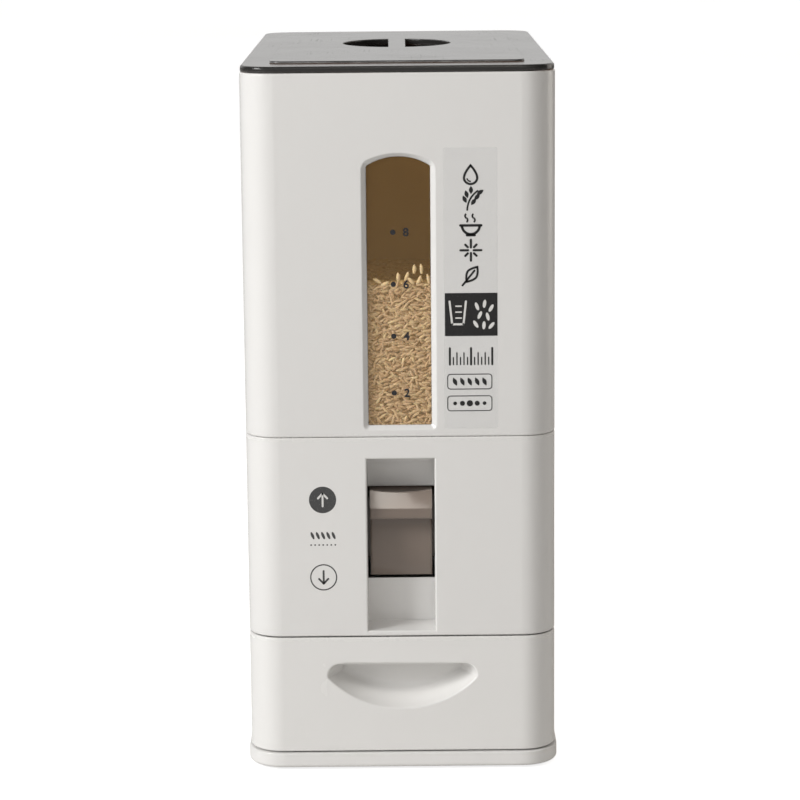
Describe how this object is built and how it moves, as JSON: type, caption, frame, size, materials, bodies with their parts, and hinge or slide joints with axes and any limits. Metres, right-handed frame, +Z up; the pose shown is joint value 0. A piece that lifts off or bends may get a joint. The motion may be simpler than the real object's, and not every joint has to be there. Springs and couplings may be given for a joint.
{
  "type": "rice dispenser",
  "caption": "Narrow upright rice bin with a windowed hopper, a lift-off lid, a lever that meters rice through a chamber, and a drawer below that catches it.",
  "frame": {"origin": "on the floor under the middle of the object", "axes": "+Z up, -Y is the front with the window, lever and drawer, +X to the viewer's right"},
  "size_m": [0.203, 0.395, 0.46],
  "materials": {
    "white_shell": "satin white",
    "drawer_white": "satin white",
    "base_white": "satin white",
    "inner_white": "plain moulded",
    "drawer_inner": "plain moulded",
    "chamber_clear": "frosted clear",
    "gate_grey": "plain moulded",
    "lever_taupe": "satin taupe",
    "amber_pane": "clear amber",
    "smoke_lid": "glossy smoke",
    "smoke_cup": "glossy black",
    "screw_steel": "zinc plated",
    "foot_rubber": "matt black"
  },
  "bodies": {
    "stand": {"rubber_feet": "foot_rubber", "base_tray": "base_white", "base_screws": "screw_steel", "bay_shell": "white_shell", "right_runner": "inner_white", "left_runner": "inner_white", "housing_shell": "white_shell", "housing_screws": "screw_steel", "right_cheek": "inner_white", "left_cheek": "inner_white", "cheek_screws": "screw_steel", "friction_washers": "screw_steel", "metering_chamber": "chamber_clear", "drop_chute": "inner_white"},
    "gate_rotor": {"upper_gate": "gate_grey", "lower_gate": "gate_grey", "right_gate_disc": "gate_grey", "left_gate_disc": "gate_grey", "lever": "lever_taupe"},
    "drawer": {"drawer_front": "drawer_white", "drawer_box": "drawer_inner", "drawer_screws": "screw_steel"},
    "hopper": {"hopper_shell": "white_shell", "window_pane": "amber_pane", "hopper_funnel": "inner_white"},
    "lid": {"lid_shell": "smoke_lid", "finger_cup": "smoke_cup"}
  },
  "joints": [
    {"name": "gate_turn", "type": "hinge", "parent": "stand", "child": "gate_rotor", "pos_m": [0, -0.1205, 0.1535], "axis": [1, 0, 0], "range_deg": [0, 42]},
    {"name": "drawer_pull", "type": "slide", "parent": "stand", "child": "drawer", "axis": [0, -1, 0], "range_m": [0, 0.15]},
    {"name": "hopper_lift", "type": "slide", "parent": "stand", "child": "hopper", "axis": [0, 0, 1], "range_m": [0, 0.08]},
    {"name": "lid_lift", "type": "slide", "parent": "hopper", "child": "lid", "axis": [0, 0, 1], "range_m": [0, 0.06]}
  ]
}
